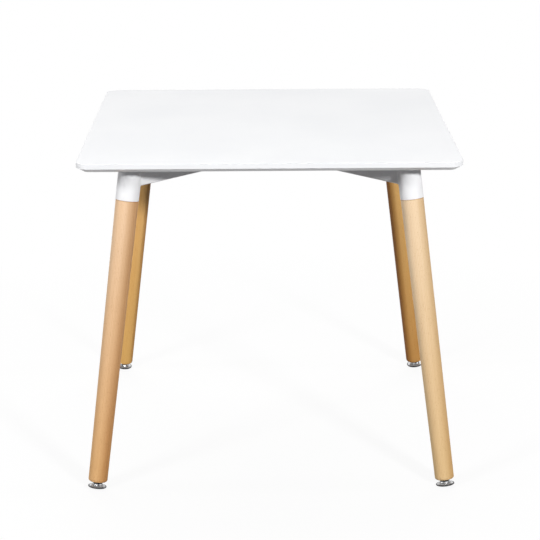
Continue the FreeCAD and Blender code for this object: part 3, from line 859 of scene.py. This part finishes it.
@dataclass
class CrossFrame:
    """The welded cross of rails, sleeves, caps and tabs, in metres and degrees."""

    legs: Sequence[LegLine]
    coat: SprayedWhite = POWDER_COAT
    half_rails: Sequence[Corner] = (Corner.BACK_LEFT, Corner.FRONT_RIGHT)
    tabs: Sequence[str] = ("a", "b")
    rail_width: float = 0.025
    rail_round: float = 0.004
    sleeve_radius: float = 0.025
    round_steps: int = 5
    side_steps: int = 6
    bead_radius: float = 0.0019
    bead_sides: int = 10
    bead_angle: float = 60.0
    ripple_pitch: float = 0.0026
    ripple_depth: float = 0.24
    ripple_steps: int = 5
    wobble: float = 0.18
    wobble_size: float = 0.007
    seed: int = 11
    tab_margin: float = 0.004

    def tab_node(self, leg: LegLine, tab: str) -> str:
        """Return the name of one of the tabs on a leg's rail."""
        return f"{leg.node('fixing_tab')}_{tab}"

    def outline(self) -> list[Range]:
        """Go round the welded part of a rail's section.

        Returns:
            Points as (across, height), down one side, under and up the other.
        """
        low, high = reach(LONG_RAIL, UP)
        half = self.rail_width / 2
        bend = self.rail_round
        centre = half - bend
        head = high - bend - self.bead_radius
        drop = low + bend - head
        shares = [step / self.side_steps for step in range(self.side_steps)]
        turns = [QUARTER_TURN * step / self.round_steps for step in range(self.round_steps + 1)]
        right = [(half, head + drop * share) for share in shares]
        right += [(centre + bend * math.cos(a), low + bend * (1.0 - math.sin(a))) for a in turns]
        right += [(centre * (1.0 - share), low) for share in shares[1:]]
        return right + [(0.0, low)] + [(-across, height) for across, height in reversed(right)]

    def sleeve_joint(self, leg: LegLine) -> list[Vector]:
        """Follow a rail's outline on the sleeve that it is coped to.

        Args:
            leg: the leg in that sleeve.

        Returns:
            The points of the joint.
        """
        points = []
        for across, height in self.outline():
            inward = math.sqrt(self.sleeve_radius ** 2 - across ** 2) / leg.up.z
            points.append(leg.at_height(height) - leg.outward * inward + leg.across * across)
        return points

    def middle_joint(self, leg: LegLine) -> list[Vector]:
        """Follow the outline of the half rail that runs to a leg, on the long rail's side."""
        start = leg.outward * self.rail_width / 2
        return [start + leg.across * across + UP * height for across, height in self.outline()]

    def tab_joint(self, leg: LegLine, tab: str) -> list[Vector]:
        """Follow the lower edge of a fixing tab along its rail.

        Args:
            leg: the leg at the end of the rail.
            tab: which of the rail's two tabs.

        Returns:
            The two ends of the joint.
        """
        node = self.tab_node(leg, tab)
        side = math.copysign(self.rail_width / 2, sum(reach(node, leg.across)))
        near, far = reach(node, leg.outward)
        foot = reach(node, UP)[0]
        ends = (near + self.tab_margin, far - self.tab_margin)
        return [leg.outward * end + leg.across * side + UP * foot for end in ends]

    def joint_lines(self) -> Mesh:
        """Draw every welded joint.

        Returns:
            A mesh of bare edges.
        """
        lines = []
        for leg in self.legs:
            lines.append(self.sleeve_joint(leg))
            lines += [self.tab_joint(leg, tab) for tab in self.tabs]
            if leg.corner in self.half_rails:
                lines.append(self.middle_joint(leg))
        points, edges = [], []
        for line in lines:
            start = len(points)
            edges += [(start + step, start + step + 1) for step in range(len(line) - 1)]
            points += line
        mesh = bpy.data.meshes.new("joint_lines")
        mesh.from_pydata(points, edges, [])
        return mesh

    def bead_tree(self, material: Material) -> ShapeTree:
        """Make the tree that lays a rippled bead along each line.

        Args:
            material: the bead's finish.

        Returns:
            The tree.
        """
        tree = ShapeTree("weld_bead")
        radius = tree.size("Bead Radius", self.bead_radius)
        pitch = tree.size("Ripple Pitch", self.ripple_pitch)
        depth = tree.size("Ripple Depth", self.ripple_depth)
        wobble = tree.size("Wobble", self.wobble)
        sides = tree.size("Bead Sides", self.bead_sides, "Int")
        seed = tree.size("Wobble Seed", self.seed, "Int")
        curve = tree.out("GeometryNodeMeshToCurve", {"Mesh": tree.seed_mesh})
        step = tree.calc("DIVIDE", pitch, float(self.ripple_steps))
        inputs = {"Curve": curve, "Length": step}
        fine = tree.out("GeometryNodeResampleCurve", inputs, mode="LENGTH")
        along = tree.out("GeometryNodeSplineParameter", socket="Length")
        phase = tree.calc("MULTIPLY", tree.calc("DIVIDE", along, pitch), math.pi)
        dip = tree.calc("SUBTRACT", 1.0, tree.calc("ABSOLUTE", tree.calc("SINE", phase)))
        ripple = tree.calc("SUBTRACT", 1.0, tree.calc("MULTIPLY", dip, depth))
        inputs = {"W": seed, "Scale": 1.0 / self.wobble_size}
        noise = tree.out("ShaderNodeTexNoise", inputs, noise_dimensions="4D")
        sway = tree.calc("MULTIPLY_ADD", tree.calc("SUBTRACT", noise, NOISE_MEAN), wobble, 1.0)
        tree.close(tree.sweep(fine, sides, radius, tree.calc("MULTIPLY", ripple, sway)), material)
        return tree

    def build(self, material: Material) -> bpy.types.Object:
        """Weld the cross together.

        Args:
            material: the coat over the beads.

        Returns:
            The beads, as one piece.
        """
        mesh = self.bead_tree(material).grow(self.joint_lines(), "weld_beads")
        close_up(mesh)
        soften(mesh, self.bead_angle)
        return settle(mesh, ROOT_BODY, Slot.FRAME)

    def dress(self) -> None:
        """Powder coat the whole cross."""
        material = self.coat.material()
        coated = [LONG_RAIL] + [corner.node("half_rail") for corner in self.half_rails]
        for leg in self.legs:
            coated += [leg.node("leg_sleeve"), leg.node("sleeve_cap")]
            coated += [self.tab_node(leg, tab) for tab in self.tabs]
        for node in coated:
            paint(node, material)
        self.build(material)


@dataclass
class TurnedLegs:
    """The four turned legs and the steel in their ends."""

    legs: Sequence[LegLine]
    steel_kinds: Sequence[str] = ("weld_nut", "hanger_bolt")
    insert_shade_plating: ZincPlating = SHADE_DARK_ZINC

    def dress(self, zinc: Material) -> None:
        """Finish the wood and the steel.

        Args:
            zinc: the finish of the nuts and bolts.
        """
        dark = self.insert_shade_plating.material()
        for leg in self.legs:
            paint(leg.node("leg"), LEG_WOOD[leg.corner].material(leg))
            # Near-black inserts: painted shade under the leg.
            paint(leg.node("foot_insert"), dark)
            for kind in self.steel_kinds:
                paint(leg.node(kind), zinc)


@dataclass
class ScrewFeet:
    """The four screw feet; heights are up the leg from the collar's foot, in metres."""

    legs: Sequence[LegLine]
    plating: BrightPlating = BrightPlating()
    moulding: MouldedPlastic = MouldedPlastic()
    steps: int = 72
    pitch: float = 0.00125
    crest_radius: float = 0.00398
    ridge: float = 0.00062
    ridge_sides: int = 4
    ridge_least: float = 0.05
    thread_foot: float = 0.0072
    end_chamfer: float = 0.0007
    collar_sides: int = 6
    collar_flats: float = 0.019
    collar_head: float = 0.0055
    collar_slope: float = math.tan(math.radians(30.0))
    edge_round: float = 0.00025
    neck_radius: float = 0.004
    rivet_radius: float = 0.0065
    rivet_height: float = 0.0012
    rivet_round: float = 0.0004
    turn_points: int = 28
    taper_turns: float = 1.0

    def hexagon(self, shrink: float = 0.0) -> Callable[[float], float]:
        """Return how the radius of the collar, with its flats drawn in, follows from an angle."""
        half, sector = self.collar_flats / 2 - shrink, math.tau / self.collar_sides
        return lambda angle: half / math.cos(angle % sector - sector / 2)

    def collar_edge(self, angle: float) -> float:
        """Return the height of the collar's chamfered upper edge at an angle."""
        past = self.hexagon()(angle) - self.collar_flats / 2
        return self.collar_head - past * self.collar_slope

    def blank(self, foot: float, head: float) -> Mesh:
        """Turn the stem before its thread is cut.

        Args:
            foot: the height of the rivet's lower face.
            head: the height of the stem's upper end.

        Returns:
            One closed mesh of rivet, neck, collar and core.
        """
        angles = [math.tau * step / self.steps for step in range(self.steps)]
        core = self.crest_radius - self.ridge
        rivet_head = foot + self.rivet_height
        lip = self.edge_round
        return turn_profile([
            (self.rivet_radius - self.rivet_round, foot),
            (self.rivet_radius, foot + self.rivet_round),
            (self.rivet_radius, rivet_head),
            (self.neck_radius, rivet_head),
            (self.neck_radius, 0.0),
            (self.hexagon(lip), 0.0),
            (self.hexagon(), lip),
            (self.hexagon(), self.collar_edge),
            (self.collar_flats / 2 - lip, self.collar_head),
            (core, self.collar_head),
            (core, head - self.end_chamfer),
            (core - self.end_chamfer, head),
        ], angles, "stem_blank")

    def thread_tree(self, head: float, material: Material) -> ShapeTree:
        """Make the tree that winds a thread round the stem.

        Args:
            head: the height of the stem's upper end.
            material: the stem's finish.

        Returns:
            The tree.
        """
        tree = ShapeTree("stem_thread")
        foot = tree.size("Thread Foot", self.thread_foot)
        length = tree.size("Thread Length", head - self.end_chamfer - self.thread_foot)
        pitch = tree.size("Pitch", self.pitch)
        ridge = tree.size("Ridge", self.ridge)
        radius = tree.size("Root Radius", self.crest_radius - self.ridge)
        points = tree.size("Points In A Turn", self.turn_points, "Int")
        turns = tree.calc("DIVIDE", length, pitch)
        spiral = tree.out("GeometryNodeCurveSpiral", {
            "Resolution": points, "Rotations": turns, "Start Radius": radius,
            "End Radius": radius, "Height": length, "Reverse": True,
        })
        level = tree.out("GeometryNodeSetCurveNormal", {"Curve": spiral}, mode="Z_UP")
        share = tree.out("GeometryNodeSplineParameter", socket="Factor")
        ends = tree.calc("MINIMUM", share, tree.calc("SUBTRACT", 1.0, share))
        rise = tree.calc("DIVIDE", tree.calc("MULTIPLY", ends, turns), self.taper_turns)
        taper = tree.calc("MAXIMUM", tree.calc("MINIMUM", rise, 1.0), self.ridge_least)
        thread = tree.sweep(level, self.ridge_sides, ridge, taper)
        lift = tree.out("ShaderNodeCombineXYZ", {"Z": foot})
        raised = tree.out("GeometryNodeTransform", {"Geometry": thread, "Translation": lift})
        joined = tree.add("GeometryNodeJoinGeometry")
        for part in (raised, tree.seed_mesh):
            tree.feed(joined.inputs["Geometry"], part)
        tree.close(joined.outputs[0], material)
        return tree

    def build(self, leg: LegLine, material: Material) -> bpy.types.Object:
        """Make the threaded stem of one foot.

        Args:
            leg: the leg that the stem screws into.
            material: its plating.

        Returns:
            The stem, in place of the plain one.
        """
        foot, head = leg.ends("foot_stem")
        tree = self.thread_tree(head, material)
        mesh = tree.grow(self.blank(foot, head), leg.node("threaded_stem"))
        close_up(mesh)
        mesh.transform(leg.place())
        soften(mesh)
        return settle(mesh, leg.node("screw"), Slot.PLATING, [leg.node("foot_stem")])

    def dress(self) -> None:
        """Plate the metal of each foot and finish its pad."""
        plastic = self.moulding.material()
        for leg in self.legs:
            plated = self.plating.material(leg)
            paint(leg.node("foot_base"), plated)
            paint(leg.node("foot_pad"), plastic)
            self.build(leg, plated)


@dataclass
class TopFixings:
    """The cross-recess screws that hold the board to the tabs, in metres."""

    legs: Sequence[LegLine]
    node: str = "tab_screws"
    shank_radius: float = 0.00215
    point_length: float = 0.003
    point_radius: float = 0.0003
    head_radius: float = 0.0045
    head_height: float = 0.003
    face_radius: float = 0.0031
    rim_height: float = 0.0012
    dome_radius: float = 0.00415
    dome_height: float = 0.00036
    slots: int = 4
    slot_half_width: float = 0.00055
    slot_reach: float = 0.0022
    slot_depth: float = 0.0017
    slot_taper: float = 0.45
    slot_slack: float = 1.0001
    spare_angles: int = 2
    arms: int = 4
    sides: int = 2
    seed: int = 5

    def angles(self) -> list[float]:
        """Choose angles that hit every corner of the cross recess.

        Returns:
            The angles of a full turn.
        """
        tip = math.atan2(self.slot_half_width, self.slot_reach)
        middle = QUARTER_TURN / 2
        gap = (middle - tip) / (self.spare_angles + 1)
        rise = [tip + gap * step for step in range(self.spare_angles + 1)]
        fall = [QUARTER_TURN - angle for angle in reversed(rise)]
        quarter = [0.0, *rise, middle, *fall]
        return [QUARTER_TURN * turn + angle for turn in range(self.slots) for angle in quarter]

    def cross(self, angle: float) -> float:
        """Follow the outline of the recess.

        Args:
            angle: where on it, in radians.

        Returns:
            Its radius there.
        """
        bearing = angle % QUARTER_TURN
        bearing = min(bearing, QUARTER_TURN - bearing)
        if math.tan(bearing) * self.slot_reach <= self.slot_half_width * self.slot_slack:
            return self.slot_reach / math.cos(bearing)
        return self.slot_half_width / math.sin(bearing)

    def screw(self, length: float) -> Mesh:
        """Make one screw, head down, with the seat of its head at zero height.

        Args:
            length: from the seat to the point.

        Returns:
            The mesh.
        """
        face = -self.head_height
        mesh = turn_profile([
            (self.point_radius, length),
            (self.shank_radius, length - self.point_length),
            (self.shank_radius, 0.0),
            (self.head_radius, 0.0),
            (self.head_radius, face + self.rim_height),
            (self.dome_radius, face + self.dome_height),
            (self.face_radius, face),
            (self.cross, face),
            (lambda angle: self.cross(angle) * self.slot_taper, face + self.slot_depth),
        ], self.angles(), "tab_screw")
        soften(mesh)
        return mesh

    def spread_tree(self, station: float, across: float, seat: float, zinc: Material) -> ShapeTree:
        """Make the tree that sets a screw in every tab.

        Args:
            station: how far along its rail each screw is.
            across: how far beside the rail's middle it is.
            seat: the height of the heads' seats.
            zinc: the screws' finish.

        Returns:
            The tree.
        """
        tree = ShapeTree("tab_screw_spread")
        count = tree.size("Screws", self.arms * self.sides, "Int")
        seed = tree.size("Turn Seed", self.seed, "Int")
        along = tree.size("Station", station)
        beside = tree.size("Across", across)
        height = tree.size("Seat Height", seat)
        index = tree.out("GeometryNodeInputIndex")
        arm = tree.calc("FLOOR", tree.calc("DIVIDE", index, float(self.sides)))
        side = tree.calc("MODULO", index, float(self.sides))
        # Sides 0 and 1 become -1 and 1 times the distance beside the rail
        side = tree.calc("MULTIPLY", tree.calc("MULTIPLY_ADD", side, 2.0, -1.0), beside)
        spot = tree.out("ShaderNodeCombineXYZ", {"X": along, "Y": side, "Z": height})
        bearing = tree.calc("MULTIPLY_ADD", arm, math.tau / self.arms, math.pi / self.arms)
        inputs = {"Vector": spot, "Angle": bearing}
        turned = tree.out("ShaderNodeVectorRotate", inputs, rotation_type="Z_AXIS")
        points = tree.out("GeometryNodePoints", {"Count": count, "Position": turned})
        inputs = {RANDOM_LEAST: 0.0, RANDOM_MOST: QUARTER_TURN, "Seed": seed}
        spin = tree.out("FunctionNodeRandomValue", inputs, RANDOM_RESULT, data_type="FLOAT")
        turn = tree.out("ShaderNodeCombineXYZ", {"Z": spin})
        inputs = {"Points": points, "Instance": tree.seed_mesh, "Rotation": turn}
        tree.close(tree.out("GeometryNodeInstanceOnPoints", inputs), zinc)
        return tree

    def dress(self, zinc: Material) -> bpy.types.Object:
        """Drive the screws.

        Args:
            zinc: their finish.

        Returns:
            The screws, as one piece in place of the plain ones.
        """
        leg = self.legs[0]
        spots = [vertex.co for vertex in frame["nodes"][self.node].data.vertices]
        pairs = [(spot.dot(leg.outward), spot.dot(leg.across)) for spot in spots]
        # Only the points of one screw, the one on the left of this leg's rail
        own = [pair for pair in pairs if 0.0 < pair[1] < pair[0]]
        station, across = ((min(line) + max(line)) / 2 for line in zip(*own))
        low, high = reach(self.node, UP)
        seat = low + self.head_height
        tree = self.spread_tree(station, across, seat, zinc)
        mesh = tree.grow(self.screw(high - seat), "cross_recess_screws")
        return settle(mesh, ROOT_BODY, Slot.ZINC, [self.node])


@dataclass(frozen=True)
class Lamp:
    """A soft lamp, placed by its bearing from the table; sizes are in metres and degrees."""

    name: str
    bearing: float
    elevation: float
    distance: float
    width: float
    height: float
    level: float

    def build(self, target: Vector) -> None:
        """Hang the lamp.

        Args:
            target: the point that it lights, at its level.
        """
        data = bpy.data.lights.new(self.name, "AREA")
        data.shape = "RECTANGLE"
        data.size = self.width
        data.size_y = self.height
        data.energy = self.level * (math.pi * self.distance) ** 2
        back = Matrix.Translation(UP * self.distance)
        place = Matrix.Translation(target) @ aim(self.bearing, self.elevation) @ back
        show(self.name, data).matrix_world = place


@dataclass
class Studio:
    """A pale floor, soft lamps and the camera; sizes are in metres and degrees."""

    camera_place: tuple[float, float, float] = (-0.0149, -3.7785, 1.5340)
    camera_yaw: float = 0.245
    camera_pitch: float = 16.992
    camera_roll: float = -0.304
    camera_lens: float = 112.83
    sensor: float = 36.0
    floor_half: float = 30.0
    floor_tone: Colour = (0.92, 0.92, 0.92)
    bounce_tone: Colour = (0.20, 0.20, 0.205)
    floor_white: float = 0.90
    shadow_range: Range = (0.55, 1.5)
    sky_tone: Colour = (0.02, 0.02, 0.021)
    target: tuple[float, float, float] = (0.0, 0.0, 0.55)
    lamps: Sequence[Lamp] = (
        Lamp("key_lamp", 29.0, 18.5, distance=5.5, width=0.6, height=0.3, level=0.77),
        Lamp("side_lamp", -44.0, 25.0, distance=3.6, width=0.7, height=0.7, level=0.46),
        Lamp("edge_lamp", 90.0, 23.0, distance=5.5, width=0.5, height=0.5, level=0.13),
        Lamp("left_lamp", -85.0, 14.0, distance=5.5, width=0.5, height=0.5, level=0.17),
        Lamp("back_lamp", 180.0, 50.0, distance=8.0, width=7.0, height=7.0, level=0.72),
    )

    def seen(self, nodes: NodeSet) -> Socket:
        """Tell the rays that look at the background from those that light the table.

        Args:
            nodes: the tree that asks.

        Returns:
            1 for a look, straight or by a mirror, and 0 for light.
        """
        path = nodes.add("ShaderNodeLightPath").outputs
        direct = nodes.calc("MAXIMUM", path["Is Camera Ray"], path["Is Glossy Ray"])
        return nodes.calc("MAXIMUM", direct, path["Is Transmission Ray"])

    def build_world(self) -> None:
        """Surround the table with even light, white where it is looked at."""
        world = bpy.data.worlds.new("studio_world")
        bpy.context.scene.world = world
        world.use_nodes = True
        nodes = NodeSet(world.node_tree)
        nodes.tree.nodes.clear()
        dim, white = (
            nodes.out("ShaderNodeBackground", {"Color": colour})
            for colour in ((*self.sky_tone, 1.0), WHITE)
        )
        both = nodes.out("ShaderNodeMixShader", {0: self.seen(nodes), 1: dim, 2: white})
        nodes.add("ShaderNodeOutputWorld", {"Surface": both})

    def floor_finish(self) -> Material:
        """Make the floor's finish.

        Returns:
            A pale finish that looks white, keeps a soft shadow and is clear from below.
        """
        nodes = FinishNodes("pale_floor")
        nodes.tree.nodes.clear()
        seen = self.seen(nodes)
        tone = nodes.blend(seen, self.bounce_tone, self.floor_tone)
        matt = nodes.out("ShaderNodeBsdfDiffuse", {"Color": tone})
        white = nodes.out("ShaderNodeEmission", {"Color": WHITE, "Strength": 1.0})
        far = nodes.radius(nodes.place())
        share = nodes.span(far, self.shadow_range, self.floor_white, 1.0)
        share = nodes.calc("MULTIPLY", seen, share)
        above = nodes.out("ShaderNodeMixShader", {0: share, 1: matt, 2: white})
        clear = nodes.out("ShaderNodeBsdfTransparent")
        back = nodes.out("ShaderNodeNewGeometry", socket="Backfacing")
        whole = nodes.out("ShaderNodeMixShader", {0: back, 1: above, 2: clear})
        nodes.add("ShaderNodeOutputMaterial", {"Surface": whole})
        return nodes.material

    def build_floor(self) -> None:
        """Lay the floor under the table."""
        half = self.floor_half
        level = CAD_BOX[0].z
        sides = ((-half, -half), (half, -half), (half, half), (-half, half))
        mesh = bpy.data.meshes.new("studio_floor")
        mesh.from_pydata([(*side, level) for side in sides], [], [range(len(sides))])
        mesh.materials.append(self.floor_finish())
        show(mesh.name, mesh)

    def build_camera(self) -> None:
        """Stand the camera at the photograph's place."""
        data = bpy.data.cameras.new("photo_camera")
        data.sensor_width = self.sensor
        data.lens = self.camera_lens
        camera = show(data.name, data)
        turn = aim(-self.camera_yaw, self.camera_pitch) @ rotation(self.camera_roll, "Z")
        camera.matrix_world = Matrix.Translation(self.camera_place) @ turn
        bpy.context.scene.camera = camera

    def build(self) -> None:
        """Set the whole studio."""
        bpy.context.scene.view_settings.view_transform = "Standard"
        self.build_world()
        self.build_floor()
        self.build_camera()
        for lamp in self.lamps:
            lamp.build(Vector(self.target))
        LOG.info("studio: %d lamps", len(self.lamps))


def main() -> None:
    """Dress the table piece by piece and light it."""
    logging.basicConfig(level=logging.INFO, format="%(message)s")
    legs = [LegLine.from_frame(corner) for corner in Corner]
    zinc = ZincPlating().material()
    TableTop().dress()
    CrossFrame(legs).dress()
    TurnedLegs(legs).dress(zinc)
    ScrewFeet(legs).dress()
    TopFixings(legs).dress(zinc)
    Studio().build()


if __name__ == "__main__":
    main()
